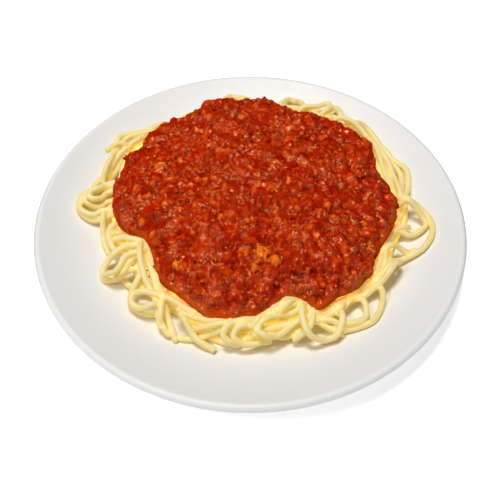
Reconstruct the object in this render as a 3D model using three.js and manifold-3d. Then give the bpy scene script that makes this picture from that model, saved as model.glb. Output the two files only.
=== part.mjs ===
// A dinner plate of spaghetti bolognese: a shallow coupe plate, a nest of spaghetti and a mound of
// minced meat sauce on top of it.
// Millimetres, +Z up. The origin is on the table under the plate's centre, and -Y faces the eater.
import * as THREE from "three";
import { mergeVertices } from "three/addons/utils/BufferGeometryUtils.js";
import Module from "manifold-3d";

const wasm = await Module();
wasm.setup();

// ---------------------------------------------------------------- driving sizes

const GAP = 0.4; // free space kept between pieces that rest on each other
const WELD = 1e-3; // corners closer than this are one corner
const SMALLEST = 0.06; // slivers and steps smaller than this are smoothed away

const PLATE = {
  radius: 115,
  height: 21,
  lipRadius: 2.4, // the rim is rounded over with this radius
  wellRadius: 68, // the flat floor
  wellHeight: 6,
  riseEnd: 111.4, // where the rising coupe meets the rounded lip
  riseHeight: 20.68,
  risePower: 1.7,
  wall: 4.7, // thickness of the coupe, measured straight down
  footOuter: 68.8,
  footInner: 65.2,
  recess: 1.8, // height of the underside inside the foot
  footBevel: 0.8,
  segments: 56,
  risePoints: 5,
  lipPoints: 6,
};

const FOOD = { x: 1, y: 9 }; // the nest's centre, a little towards the far side

// How far the sauce and the nest of noodles reach from the nest's centre, at every 15 degrees from +X.
const SAUCE_REACH = [
  80, 75, 82, 78, 75, 76, 83, 85, 82, 78, 79, 78, 77, 72, 61, 68, 72, 75, 72, 66, 74, 77, 74, 77,
];
const NEST_REACH = [
  92, 94, 93, 94, 96, 93, 94, 95, 92, 91, 94, 92, 96, 88, 90, 89, 89, 88, 84, 85, 92, 94, 88, 97,
];

const CORE = {
  inset: 6, // the solid core stops this far inside the loose outer loops
  height: 16,
  shoulder: 6.5, // a high power gives a flat top and a steep edge
  round: 0.55,
  lip: 1.2, // least thickness over the plate
};

const SAUCE = {
  top: 37,
  shoulder: 2.4,
  round: 0.45,
};

const NOODLE = {
  diameter: 3.1,
  sides: 5,
  bend: 24, // degrees of turn at which the tube gets its next ring
  stretch: 8, // the longest straight piece of tube
  sink: 0.3, // how deep a noodle presses into what it lies on
  bridge: 5, // it spans dips shorter than about twice this
  dive: 3, // length over which its ends go down into the core
};

// The noodles that show, in the order in which they fell. Each is a cubic curve seen from above:
// it leaves the heap, is drawn out towards two places, and goes back in. Every place is an azimuth
// in degrees and a distance from the nest's centre.
const NOODLES = [
  // the far side, from right to left
  [[66, 80], [64, 98], [57, 112], [54, 84]],
  [[79, 82], [77, 98], [69, 99], [66, 82]],
  [[94, 82], [94, 97], [99, 97], [99, 82]],
  // the right, along the sauce
  [[48, 80], [36, 90], [14, 93], [4, 80]],
  [[52, 80], [42, 98], [22, 91], [8, 82]],
  [[36, 82], [27, 101], [15, 102], [4, 82]],
  // the left, along the sauce
  [[161, 82], [153, 86], [145, 93], [136, 82]],
  [[166, 82], [158, 91], [147, 100], [132, 84]],
  // the bundle that turns back on the left
  [[165, 80], [169, 103], [185, 104], [187, 78]],
  [[166, 80], [170, 101], [183, 98], [183, 78]],
  [[168, 80], [172, 95], [179, 95], [178, 79]],
  // below it, towards the near side
  [[184, 79], [187, 86], [196, 87], [205, 72]],
  [[188, 74], [191, 83], [199, 82], [204, 68]],
  [[199, 66], [202, 98], [220, 98], [207, 64]],
  [[198, 62], [214, 72], [230, 72], [244, 88]],
  [[207, 63], [218, 78], [234, 84], [250, 84]],
  [[252, 74], [214, 78], [222, 98], [240, 80]],
  // the near side
  [[268, 73], [248, 76], [252, 90], [272, 84]],
  [[278, 70], [258, 77], [256, 90], [288, 82]],
  [[284, 66], [276, 76], [272, 88], [290, 80]],
  [[291, 66], [284, 90], [298, 103], [303, 76]],
  [[313, 77], [315, 94], [299, 93], [303, 76]],
  [[323, 78], [321, 98], [308, 101], [294, 80]],
  // the right, below the big loops
  [[340, 77], [334, 86], [325, 88], [315, 76]],
  [[344, 79], [337, 80], [325, 84], [310, 77]],
  [[357, 80], [356, 99], [350, 107], [341, 76]],
  [[4, 80], [0, 103], [347, 111], [331, 78]],
];

// The noodle that lies across the others, with its cut end on the plate.
const LOOSE_END = [[234, 75], [242, 78], [250, 81.5], [257, 86]];

// Under them lie plainer runs, evenly spread, that each follow the nest's edge for a while.
const RUNS = {
  count: 7,
  span: 48, // degrees
  insideEdge: [2, 7.5], // how far inside the nest's reach a run lies, at the least and the most
  ends: 9, // how much further in it starts and stops
};

const CRUMBS = {
  count: 44,
  largest: 5.2, // radius of the biggest lump of mince
  smallest: 2.4,
  spread: 0.92, // share of the sauce's reach that they cover
  sunk: 0.35, // share of the radius that is under the sauce
  detailed: 6, // the largest ones have more faces
};

// Broad swells of the sauce's surface: height, wavelength along X and Y, phase.
const SWELLS = [
  [0.9, 61, 97, 0.6],
  [0.7, -85, 46, 2.1],
  [0.5, 29, -37, 4.0],
];

// Folds across the sauce with valleys between them: middle, half length, half width, height, turn.
const FOLDS = [
  { x: 10, y: -7, length: 44, width: 9, height: 2.2, turn: -5 },
  { x: 4, y: -40, length: 36, width: 8, height: 1.8, turn: 4 },
  { x: -30, y: 38, length: 26, width: 12, height: 1.5, turn: 20 },
];

// Rings of the sauce and the core, as shares of the sauce's reach, and of the bare edge outside it.
const SHARED_RINGS = [0.45, 0.78, 0.93, 1];
const EDGE_RINGS = [0.45, 0.75, 0.92, 1];
const SAUCE_RINGS = [0.12, 0.25, 0.37, 0.48, 0.59, 0.69, 0.78, 0.86, 0.92, 0.965, 1];
const FLOOR_RINGS = [0.7, 1];
const MOUND_SEGMENTS = 50;

// ---------------------------------------------------------------- small helpers

const radians = THREE.MathUtils.degToRad;
const fromCentre = (x, y) => Math.hypot(x - FOOD.x, y - FOOD.y);
const azimuthOf = (x, y) => Math.atan2(y - FOOD.y, x - FOOD.x);
const smoothstep = THREE.MathUtils.smoothstep;

// The same number between 0 and 1 for the same item each time, in place of a random draw.
function chance(item, kind) {
  const mixed = Math.sin(item * 127.1 + kind * 311.7) * 43758.5453;
  return mixed - Math.floor(mixed);
}

// A smooth closed outline through reaches at equal steps of azimuth.
function reachAt(reaches, azimuth) {
  const n = reaches.length;
  const place = ((azimuth / (2 * Math.PI)) * n + n * 4) % n;
  const i = Math.floor(place);
  const t = place - i;
  const [a, b, c, d] = [-1, 0, 1, 2].map((k) => reaches[(i + k + n) % n]);
  const curve = (2 * a - 5 * b + 4 * c - d) * t * t + (3 * b - a - 3 * c + d) * t * t * t;
  return 0.5 * (2 * b + (c - a) * t + curve);
}

function polar(azimuth, distance) {
  return new THREE.Vector2(
    FOOD.x + distance * Math.cos(azimuth),
    FOOD.y + distance * Math.sin(azimuth),
  );
}

// ---------------------------------------------------------------- surfaces

function plateTop(x, y) {
  const r = Math.hypot(x, y);
  const share = Math.max(0, (r - PLATE.wellRadius) / (PLATE.riseEnd - PLATE.wellRadius));
  return PLATE.wellHeight + (PLATE.riseHeight - PLATE.wellHeight) * share ** PLATE.risePower;
}

const coreReach = (azimuth) => reachAt(NEST_REACH, azimuth) - CORE.inset;
const sauceReach = (azimuth) => reachAt(SAUCE_REACH, azimuth);

const sauceEdge = Array.from({ length: 180 }, (_, k) => {
  const azimuth = radians(2 * k);
  return polar(azimuth, sauceReach(azimuth));
});

// How far a place lies outside the sauce's edge seen from above, negative under the sauce.
function besideSauce(p) {
  const nearest = Math.min(...sauceEdge.map((q) => q.distanceTo(p)));
  return fromCentre(p.x, p.y) < sauceReach(azimuthOf(p.x, p.y)) ? -nearest : nearest;
}

function coreTop(x, y) {
  const share = Math.min(1, fromCentre(x, y) / coreReach(azimuthOf(x, y)));
  const heap = CORE.height * (1 - share ** CORE.shoulder) ** CORE.round;
  return plateTop(x, y) + Math.max(heap, GAP + CORE.lip);
}

function fold({ x, y, length, width, height, turn }, atX, atY) {
  const angle = radians(turn);
  const along = (atX - x) * Math.cos(angle) + (atY - y) * Math.sin(angle);
  const across = (atY - y) * Math.cos(angle) - (atX - x) * Math.sin(angle);
  return height * Math.exp(-((along / length) ** 2) - (across / width) ** 2);
}

function relief(x, y) {
  let height = 0;
  for (const [rise, alongX, alongY, phase] of SWELLS) {
    height += rise * Math.sin(2 * Math.PI * (x / alongX + y / alongY) + phase);
  }
  return FOLDS.reduce((sum, item) => sum + fold(item, x, y), height);
}

function sauceTop(x, y) {
  const azimuth = azimuthOf(x, y);
  const share = Math.min(1, fromCentre(x, y) / sauceReach(azimuth));
  const edge = polar(azimuth, sauceReach(azimuth));
  const low = coreTop(edge.x, edge.y) + GAP;
  const dome = (1 - share ** SAUCE.shoulder) ** SAUCE.round;
  return low + (SAUCE.top - low) * dome + relief(x, y) * smoothstep(1 - share, 0, 0.25);
}

// ---------------------------------------------------------------- solids

const scene = new THREE.Group();
const materials = {
  plate: new THREE.MeshStandardMaterial({ color: 0xe4e1dc, roughness: 0.25, metalness: 0 }),
  noodles: new THREE.MeshStandardMaterial({ color: 0xf0dc96, roughness: 0.45, metalness: 0 }),
  sauce: new THREE.MeshStandardMaterial({ color: 0xab2c06, roughness: 0.35, metalness: 0 }),
};

function toManifold(geometry) {
  const bare = new THREE.BufferGeometry();
  const flat = geometry.index ? geometry.toNonIndexed() : geometry;
  bare.setAttribute("position", flat.getAttribute("position"));
  const merged = mergeVertices(bare, WELD);
  return new wasm.Manifold(
    new wasm.Mesh({
      numProp: 3,
      vertProperties: merged.attributes.position.array,
      triVerts: new Uint32Array(merged.index.array),
    }),
  );
}

function meshGeometry(manifold) {
  const mesh = manifold.getMesh();
  const positions = new Float32Array(mesh.numVert * 3);
  for (let i = 0; i < mesh.numVert; i++) {
    const start = i * mesh.numProp;
    positions.set(mesh.vertProperties.subarray(start, start + 3), i * 3);
  }
  const geometry = new THREE.BufferGeometry();
  geometry.setAttribute("position", new THREE.BufferAttribute(positions, 3));
  geometry.setIndex(new THREE.BufferAttribute(new Uint32Array(mesh.triVerts), 1));
  return geometry;
}

// The largest connected body as three.js geometry, without scraps or sealed hollows. A hollow can
// hang on to the outside by a shared corner, so the body is welded and taken apart until it is one.
function toGeometry(manifold) {
  const byVolume = (a, b) => b.volume() - a.volume();
  let bodies = manifold.simplify(SMALLEST).decompose();
  let geometry;
  do {
    geometry = meshGeometry(bodies.sort(byVolume)[0]);
    bodies = toManifold(geometry).decompose();
  } while (bodies.length > 1);
  geometry.computeVertexNormals();
  return geometry;
}

function addNode(name, geometry, material) {
  const mesh = new THREE.Mesh(geometry, material);
  mesh.name = name;
  scene.add(mesh);
}

// A closed mound: rings of points on an upper and a lower surface, meeting at one edge. Each ring
// list holds functions that give a ring's distance at an azimuth, from the inside out.
function moundGeometry(upper, lower, upperRings, lowerRings) {
  const positions = [];
  const index = [];
  const addPoint = (p, z) => positions.push(p.x, p.y, z) / 3 - 1;
  const centre = new THREE.Vector2(FOOD.x, FOOD.y);
  const addSheet = (surface, rings) => {
    const rows = [];
    for (const ring of rings) {
      const row = [];
      for (let k = 0; k < MOUND_SEGMENTS; k++) {
        const azimuth = (2 * Math.PI * k) / MOUND_SEGMENTS;
        const p = polar(azimuth, ring(azimuth));
        row.push(addPoint(p, surface(p.x, p.y)));
      }
      rows.push(row);
    }
    return { middle: addPoint(centre, surface(centre.x, centre.y)), rows };
  };
  const stitch = (inner, outer, facing) => {
    for (let k = 0; k < MOUND_SEGMENTS; k++) {
      const next = (k + 1) % MOUND_SEGMENTS;
      const quad = [inner[k], outer[k], outer[next], inner[next]];
      const [a, b, c, d] = facing > 0 ? quad : quad.reverse();
      index.push(a, b, c, a, c, d);
    }
  };
  const fan = (middle, row, facing) => {
    for (let k = 0; k < MOUND_SEGMENTS; k++) {
      const pair = [row[k], row[(k + 1) % MOUND_SEGMENTS]];
      index.push(middle, ...(facing > 0 ? pair : pair.reverse()));
    }
  };
  const top = addSheet(upper, upperRings);
  const bottom = addSheet(lower, lowerRings);
  fan(top.middle, top.rows[0], 1);
  fan(bottom.middle, bottom.rows[0], -1);
  top.rows.slice(1).forEach((row, i) => stitch(top.rows[i], row, 1));
  bottom.rows.slice(1).forEach((row, i) => stitch(bottom.rows[i], row, -1));
  stitch(top.rows.at(-1), bottom.rows.at(-1), 1);
  const geometry = new THREE.BufferGeometry();
  geometry.setAttribute("position", new THREE.Float32BufferAttribute(positions, 3));
  geometry.setIndex(index);
  return geometry;
}

// ---------------------------------------------------------------- plate

function plateGeometry() {
  const { radius, height, lipRadius, wellRadius, riseEnd, wall, recess, footBevel } = PLATE;
  const { footOuter, footInner, segments, risePoints, lipPoints } = PLATE;
  const profile = [];
  const add = (r, z) => profile.push(new THREE.Vector2(r, z));
  add(0, recess);
  add(footInner - 2 * footBevel, recess);
  add(footInner, 0);
  add(footOuter, 0);
  add(footOuter + footBevel, footBevel);
  const underStart = footOuter + 3 * footBevel;
  for (let i = 1; i <= risePoints; i++) {
    const r = underStart + ((riseEnd - underStart) * i) / risePoints;
    add(r, plateTop(r, 0) - wall);
  }
  const lipStart = radians(-70);
  const lipEnd = radians(120);
  for (let i = 0; i <= lipPoints; i++) {
    const angle = lipStart + ((lipEnd - lipStart) * i) / lipPoints;
    const r = radius - lipRadius + lipRadius * Math.cos(angle);
    add(r, height - lipRadius + lipRadius * Math.sin(angle));
  }
  for (let i = risePoints - 1; i >= 0; i--) {
    const r = wellRadius + ((riseEnd - wellRadius) * i) / risePoints;
    add(r, plateTop(r, 0));
  }
  add(0, PLATE.wellHeight);
  return new THREE.LatheGeometry(profile, segments).rotateX(Math.PI / 2);
}

// ---------------------------------------------------------------- nest of noodles

// The four places of one plain run along the nest's edge.
function runPlaces(item) {
  const [least, most] = RUNS.insideEdge;
  const inside = least + (most - least) * chance(item, 5);
  const start = (360 / RUNS.count) * (item + chance(item, 6));
  return [0, 1, 2, 3].map((k) => {
    const azimuth = start + (RUNS.span * k) / 3;
    const further = k === 0 || k === 3 ? RUNS.ends : 0;
    return [azimuth, reachAt(NEST_REACH, radians(azimuth)) - inside - further];
  });
}

// A noodle's route seen from above, at about every millimetre.
function planOf(places) {
  const corners = places.map(([azimuth, distance]) => polar(radians(azimuth), distance));
  const plan = new THREE.CubicBezierCurve(...corners);
  return plan.getSpacedPoints(Math.round(plan.getLength()));
}

// The height of all food so far, on a square grid. Points outside it have none.
const FIELD = { cell: 0.8, half: 110 };
const fieldCount = Math.round((2 * FIELD.half) / FIELD.cell) + 1;
const field = new Float64Array(fieldCount * fieldCount);
const cellOf = (x) => Math.round((x + FIELD.half) / FIELD.cell);
const placeOf = (cell) => cell * FIELD.cell - FIELD.half;

// Calls back with each grid cell under a ball on (x, y), and how far the ball bulges there.
function underBall(x, y, use) {
  const radius = NOODLE.diameter / 2;
  for (let j = cellOf(y - radius); j <= cellOf(y + radius); j++) {
    for (let i = cellOf(x - radius); i <= cellOf(x + radius); i++) {
      const off2 = (placeOf(i) - x) ** 2 + (placeOf(j) - y) ** 2;
      if (off2 < radius * radius) use(j * fieldCount + i, Math.sqrt(radius * radius - off2));
    }
  }
}

// The height of a noodle's centre where it lies on the bare plate.
function heightOnPlate(x, y) {
  const r = Math.hypot(x, y);
  const slope = Math.atan(plateTop(r + 0.5, 0) - plateTop(r - 0.5, 0));
  return plateTop(x, y) + (GAP + NOODLE.diameter / 2) / Math.cos(slope);
}

// The height of a noodle's centre where it lies on the food so far, or on the plate.
function restingHeight(x, y) {
  let height = heightOnPlate(x, y);
  underBall(x, y, (cell, bulge) => {
    height = Math.max(height, field[cell] + bulge - NOODLE.sink);
  });
  return height;
}

// A soft noodle lies on the highest things under it, spans short dips and has no sharp bends.
function draped(heights) {
  const around = (list, i, reach) => list.slice(Math.max(0, i - reach), i + reach + 1);
  const mean = (part) => part.reduce((sum, h) => sum + h, 0) / part.length;
  const highest = heights.map((_, i) => Math.max(...around(heights, i, NOODLE.bridge)));
  return highest.map((_, i) => mean(around(highest, i, NOODLE.bridge)));
}

// A noodle dives into the core at its ends and wherever it comes close to the sauce.
function dived(p, height, toEnd) {
  const radius = NOODLE.diameter / 2;
  const clear = radius + 2 * GAP;
  const fromSauce = smoothstep(besideSauce(p), clear, clear + NOODLE.dive);
  const fromEnd = smoothstep(toEnd, 0, NOODLE.dive);
  const buried = coreTop(p.x, p.y) - radius - GAP;
  const dipped = THREE.MathUtils.lerp(buried, height, Math.min(fromSauce, fromEnd));
  return Math.max(heightOnPlate(p.x, p.y), dipped);
}

// Lays one noodle on the food so far and returns the line of its centre.
function layNoodle(places, hasLooseEnd) {
  const plan = planOf(places);
  const last = plan.length - 1;
  const heights = draped(plan.map((p) => restingHeight(p.x, p.y)));
  const line = plan.map((p, i) => {
    const toEnd = hasLooseEnd ? i : Math.min(i, last - i);
    return new THREE.Vector3(p.x, p.y, dived(p, heights[i], toEnd));
  });
  for (const p of line) {
    underBall(p.x, p.y, (cell, bulge) => {
      field[cell] = Math.max(field[cell], p.z + bulge);
    });
  }
  return line;
}

// Places along the line for the rings of a tube: close together in bends, far apart elsewhere.
function ringPlaces(line) {
  const last = line.length - 1;
  const before = (i) => line[Math.max(0, i - 1)];
  const after = (i) => line[Math.min(last, i + 1)];
  const heading = (i) => after(i).clone().sub(before(i)).normalize();
  const rings = [{ centre: line[0], heading: heading(0) }];
  for (let i = 1; i <= last; i++) {
    const previous = rings.at(-1);
    const bent = previous.heading.angleTo(heading(i)) > radians(NOODLE.bend);
    const far = previous.centre.distanceTo(line[i]) > NOODLE.stretch;
    if (bent || far || i === last) rings.push({ centre: line[i], heading: heading(i) });
  }
  return rings;
}

function noodleGeometry(line) {
  const { sides } = NOODLE;
  const radius = NOODLE.diameter / 2;
  const rings = ringPlaces(line);
  const positions = [];
  const index = [];
  for (const { centre, heading } of rings) {
    const side = new THREE.Vector3(heading.y, -heading.x, 0).normalize();
    const up = side.clone().cross(heading);
    for (let k = 0; k < sides; k++) {
      const angle = (2 * Math.PI * k) / sides;
      const corner = centre.clone();
      corner.addScaledVector(side, radius * Math.cos(angle));
      corner.addScaledVector(up, radius * Math.sin(angle));
      positions.push(corner.x, corner.y, corner.z);
    }
  }
  for (let j = 0; j + 1 < rings.length; j++) {
    for (let k = 0; k < sides; k++) {
      const [a, b] = [j * sides + k, j * sides + ((k + 1) % sides)];
      index.push(a, b + sides, b, a, a + sides, b + sides);
    }
  }
  const tail = (rings.length - 1) * sides;
  for (let k = 2; k < sides; k++) {
    index.push(0, k - 1, k);
    index.push(tail, tail + k, tail + k - 1);
  }
  const geometry = new THREE.BufferGeometry();
  geometry.setAttribute("position", new THREE.Float32BufferAttribute(positions, 3));
  geometry.setIndex(index);
  return geometry;
}

function nestGeometry() {
  const shared = SHARED_RINGS.map((share) => (azimuth) => share * sauceReach(azimuth));
  const edge = EDGE_RINGS.map((share) => (azimuth) => {
    const inner = sauceReach(azimuth);
    return inner + share * (coreReach(azimuth) - inner);
  });
  const floor = FLOOR_RINGS.map((share) => (azimuth) => share * coreReach(azimuth));
  const lower = (x, y) => plateTop(x, y) + GAP;
  let nest = toManifold(moundGeometry(coreTop, lower, [...shared, ...edge], floor));
  for (let j = 0; j < fieldCount; j++) {
    for (let i = 0; i < fieldCount; i++) {
      const [x, y] = [placeOf(i), placeOf(j)];
      const inside = fromCentre(x, y) < coreReach(azimuthOf(x, y));
      field[j * fieldCount + i] = inside ? coreTop(x, y) : 0;
    }
  }
  const runs = Array.from({ length: RUNS.count }, (_, item) => runPlaces(item));
  for (const places of [...runs, ...NOODLES]) {
    nest = nest.add(toManifold(noodleGeometry(layNoodle(places, false))));
  }
  nest = nest.add(toManifold(noodleGeometry(layNoodle(LOOSE_END, true))));
  return toGeometry(nest);
}

// ---------------------------------------------------------------- meat sauce

// A lump of mince: an uneven ball, half sunk in the sauce. Lump 0 is the largest.
function crumbGeometry(item) {
  const order = item / CRUMBS.count;
  const size = CRUMBS.largest * (CRUMBS.smallest / CRUMBS.largest) ** Math.sqrt(order);
  const geometry = new THREE.IcosahedronGeometry(size, item < CRUMBS.detailed ? 1 : 0);
  const position = geometry.getAttribute("position");
  const corner = new THREE.Vector3();
  for (let i = 0; i < position.count; i++) {
    corner.fromBufferAttribute(position, i);
    const { x, y, z } = corner.clone().divideScalar(size);
    corner.multiplyScalar(1 + 0.22 * Math.sin(5 * x + 3 * item) * Math.cos(4 * y - 2 * z + item));
    position.setXYZ(i, corner.x, corner.y, corner.z * 0.8);
  }
  const golden = Math.PI * (3 - Math.sqrt(5));
  const azimuth = item * golden + chance(item, 1);
  const distance = CRUMBS.spread * Math.sqrt((item + 0.5) / CRUMBS.count + 0.02 * chance(item, 2));
  const place = polar(azimuth, Math.min(distance, CRUMBS.spread) * sauceReach(azimuth));
  geometry.rotateZ(2 * Math.PI * chance(item, 3));
  return geometry.translate(place.x, place.y, sauceTop(place.x, place.y) - CRUMBS.sunk * size);
}

function sauceGeometry() {
  const ringsOf = (shares) => shares.map((share) => (azimuth) => share * sauceReach(azimuth));
  const lower = (x, y) => coreTop(x, y) + GAP;
  const mound = moundGeometry(sauceTop, lower, ringsOf(SAUCE_RINGS), ringsOf(SHARED_RINGS));
  let sauce = toManifold(mound);
  for (let item = 0; item < CRUMBS.count; item++) {
    sauce = sauce.add(toManifold(crumbGeometry(item)));
  }
  return toGeometry(sauce);
}

addNode("plate", plateGeometry(), materials.plate);
addNode("spaghetti", nestGeometry(), materials.noodles);
addNode("meat_sauce", sauceGeometry(), materials.sauce);

export default scene;
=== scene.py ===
"""A dinner plate of spaghetti bolognese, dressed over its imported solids.

Sizes are millimetres, as in the part's source, and become metres when a mesh is made. Only the
studio's floor and lamps are written in metres.
"""
import math

import bmesh
import bpy
import numpy as np
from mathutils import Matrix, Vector, noise


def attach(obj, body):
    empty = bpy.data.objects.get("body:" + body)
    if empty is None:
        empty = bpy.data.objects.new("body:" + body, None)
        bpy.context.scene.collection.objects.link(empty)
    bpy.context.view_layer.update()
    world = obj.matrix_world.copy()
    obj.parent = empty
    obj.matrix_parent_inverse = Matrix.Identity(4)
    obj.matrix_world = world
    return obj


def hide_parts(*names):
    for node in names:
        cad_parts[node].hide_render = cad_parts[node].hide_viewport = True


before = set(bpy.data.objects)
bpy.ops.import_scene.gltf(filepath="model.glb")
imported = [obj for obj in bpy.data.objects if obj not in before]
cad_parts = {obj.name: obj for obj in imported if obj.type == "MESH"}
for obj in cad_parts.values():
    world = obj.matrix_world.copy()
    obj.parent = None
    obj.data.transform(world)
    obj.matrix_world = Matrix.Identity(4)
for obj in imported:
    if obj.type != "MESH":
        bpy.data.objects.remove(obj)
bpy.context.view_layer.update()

MM = 0.001

# -------------------- sizes shared with the solids

GAP = 0.4
PLATE = dict(
    radius=115, height=21, lip_radius=2.4, well_radius=68, well_height=6, rise_end=111.4,
    rise_height=20.68, rise_power=1.7, wall=4.7, foot_outer=68.8, foot_inner=65.2, recess=1.8,
)
FOOD = np.array([1.0, 9.0])  # the nest's centre

# Reaches of the sauce and of the nest from the nest's centre, at every 15 degrees from +X.
SAUCE_REACH = [
    80, 75, 82, 78, 75, 76, 83, 85, 82, 78, 79, 78, 77, 72, 61, 68, 72, 75, 72, 66, 74, 77, 74, 77,
]
NEST_REACH = [
    92, 94, 93, 94, 96, 93, 94, 95, 92, 91, 94, 92, 96, 88, 90, 89, 89, 88, 84, 85, 92, 94, 88, 97,
]
CORE = dict(inset=6, height=16, shoulder=6.5, round=0.55, lip=1.2)
SAUCE = dict(top=37, shoulder=2.4, round=0.45)
# Broad swells of the sauce: height, wavelength along X and Y, phase.
SWELLS = [(0.9, 61, 97, 0.6), (0.7, -85, 46, 2.1), (0.5, 29, -37, 4.0)]
# Folds across the sauce: x, y, half length, half width, height, turn in degrees.
FOLDS = [(10, -7, 44, 9, 2.2, -5), (4, -40, 36, 8, 1.8, 4), (-30, 38, 26, 12, 1.5, 20)]

# -------------------- noodles

# Where the close heap of noodles ends and single loops go on over the plate.
HEAP_REACH = [
    86, 86, 88, 90, 90, 84, 87, 88, 86, 86, 87, 81, 80, 77, 76, 78, 78, 82, 84, 80, 80, 80, 82, 80,
]
NOODLE = dict(radius=1.62, sides=12, step=1.3)
CORE_DROP = 4.6  # the hidden core, which carries the plain runs, lies this much under the heap's top
PLACED_DROP = 1.0  # so does the level that carries the placed noodles
# How a noodle comes to rest: it sinks in, and it bridges gaps, eases over what is under it and
# settles, over so many places to either side. Plain runs stay below the heap's top. The placed
# noodles may lie above it, and rise with their distance from the sauce.
REST = dict(sink=0.35, bridge=4, ease=5, settle=2, plain_below=1.9, above=0.3, rise=1.7)

# Noodles that can be told apart, in falling order: places in X and Y that each passes on its way
# through the open. Their ends run on, out of sight, under the sauce or the other noodles. Most of
# these rows, and those of LOOSE_ENDS, weren't written by hand: scratch programs worked them out and
# thinned them, from places picked by hand on the photograph.
LOOPS = [
    # the far side
    [(-16, 92), (-13, 98), (-8, 98), (1, 93)],
    [(18, 87), (27, 85), (37, 79)],
    [(19, 88), (25, 96), (29, 93), (32, 83), (39, 76)],
    [(44, 72), (50, 74), (60, 66)],
    [(42, 74), (52, 85), (54, 71)],
    [(33, 79), (39, 79), (47, 83), (47, 78), (41, 72)],
    # the right, beside the sauce
    [(56, 68), (61, 68), (66, 70), (71, 68), (80, 49)],
    [(74, 57), (78, 52), (82, 45), (89, 39), (89, 25), (82, 8)],
    [(75, 51), (79, 44), (86, 35), (83, 15)],
    [(70, 59), (80, 35), (82, 10)],
    [(54, 69), (64, 63), (71, 52), (78, 20)],
    # the two wide loops on the right and what they cross
    [(69, -22), (62, -40), (54, -47)],
    [(71, -21), (67, -37), (62, -43)],
    [(65, -25), (77, -19), (81, -20), (86, -19)],
    [(83, 10), (94, 7), (98, -6), (92, -18), (74, -28), (71, -34), (67, -38)],
    [(79, 6), (85, 7), (95, -3), (87, -9), (82, -8), (77, -8)],
    [(84, -5), (79, -7), (67, -24)],
    # the near right
    [(65, -44), (67, -48), (61, -62), (45, -67), (41, -66)],
    [(33, -64), (37, -66), (44, -69)],
    [(30, -66), (35, -64), (45, -66)],
    [(51, -50), (56, -50), (58, -58), (55, -63), (47, -65), (45, -61), (42, -59)],
    [(77, -30), (66, -43), (51, -51), (47, -55)],
    [(61, -38), (53, -46), (43, -58), (32, -64)],
    [(51, -48), (46, -52), (30, -63)],
    # the bundle that turns back on the left
    [(-82, 27), (-88, 23), (-93, 20), (-94, 8), (-86, 2), (-77, 3)],
    [(-80, 26), (-86, 21), (-91, 18), (-93, 7), (-85, 3), (-81, 6), (-75, 6)],
    [(-78, 25), (-85, 20), (-91, 11), (-84, 10), (-80, 13), (-75, 13)],
    [(-76, 23), (-84, 18), (-88, 14), (-87, 11), (-82, 13), (-80, 18), (-76, 20)],
    # the left, beside the sauce
    [(-77, 47), (-81, 44), (-85, 32), (-88, 28)],
    [(-51, 71), (-59, 70), (-77, 64), (-79, 59)],
    [(-65, 63), (-78, 36), (-81, 32)],
    [(-50, 69), (-63, 66), (-71, 62), (-74, 55)],
    [(-62, 61), (-70, 52), (-76, 43), (-80, 35)],
    [(-58, 64), (-71, 61), (-75, 57), (-78, 43), (-83, 29)],
    # the left, towards the near side
    [(-75, 10), (-79, 4), (-79, -10), (-76, -17)],
    [(-61, -12), (-68, -14), (-74, -12)],
    [(-64, -6), (-69, -10), (-74, -9)],
    [(-70, -1), (-75, -6), (-75, -13), (-71, -20), (-64, -22)],
    [(-59, -28), (-58, -33), (-54, -43)],
    [(-55, -22), (-53, -29), (-48, -43), (-47, -50)],
    [(-69, -31), (-66, -35), (-60, -42), (-56, -44)],
    [(-54, -24), (-65, -21), (-70, -23), (-75, -27), (-77, -31), (-76, -36), (-73, -37), (-61, -35),
     (-56, -35)],
    [(-57, -28), (-60, -30), (-63, -34), (-64, -37), (-67, -38)],
    [(-55, -27), (-60, -29), (-64, -31), (-66, -36), (-69, -39), (-74, -37)],
    [(-67, -16), (-62, -19), (-57, -20), (-53, -23)],
    [(-56, -35), (-56, -40), (-60, -48), (-60, -53), (-56, -55), (-51, -57), (-47, -56)],
    [(-46, -58), (-41, -67), (-33, -71), (-23, -71), (-14, -70)],
    [(-27, -67), (-21, -69), (-10, -68)],
    [(-43, -52), (-41, -60), (-37, -71)],
    [(-56, -18), (-56, -31), (-53, -42), (-47, -53), (-44, -65), (-41, -69)],
    [(-54, -20), (-51, -30), (-47, -39), (-44, -49), (-44, -65)],
    [(-46, -57), (-52, -58), (-59, -54), (-59, -50), (-53, -50), (-45, -52), (-31, -58), (-16, -64),
     (-8, -64)],
    # the near side
    [(6, -65), (-9, -69), (-13, -74), (-11, -76), (-7, -75)],
    [(6, -72), (18, -71), (26, -69)],
    [(24, -65), (10, -69), (-6, -71), (-8, -75), (-4, -77), (8, -75)],
    [(3, -73), (5, -69), (13, -64), (23, -61), (27, -57)],
    [(4, -74), (8, -76), (27, -64)],
    [(2, -70), (8, -63), (17, -61), (27, -55)],
    [(16, -62), (22, -57), (25, -56)],
    [(14, -62), (19, -55), (26, -56)],
    [(10, -63), (14, -56), (21, -53)],
    [(30, -57), (31, -61), (28, -71), (23, -73)],
    [(27, -57), (25, -62), (27, -73), (30, -75), (39, -73), (42, -72), (45, -65), (44, -58)],
]
# Noodles whose last place is a cut end in sight.
LOOSE_ENDS = [
    [(-71, 51), (-76, 51), (-82, 45)],
    [(-10, -65), (-22, -65), (-36, -59)],
    [(-34, -62), (-26, -73), (-17, -78)],
]
# Ends tuck in this far: under the sauce, and elsewhere only under the next noodle.
TUCK = dict(deep=7, most=16, elsewhere=2, near=6, inward=0.1, turn=0.3, dive=3.0, dive_run=5)
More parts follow.
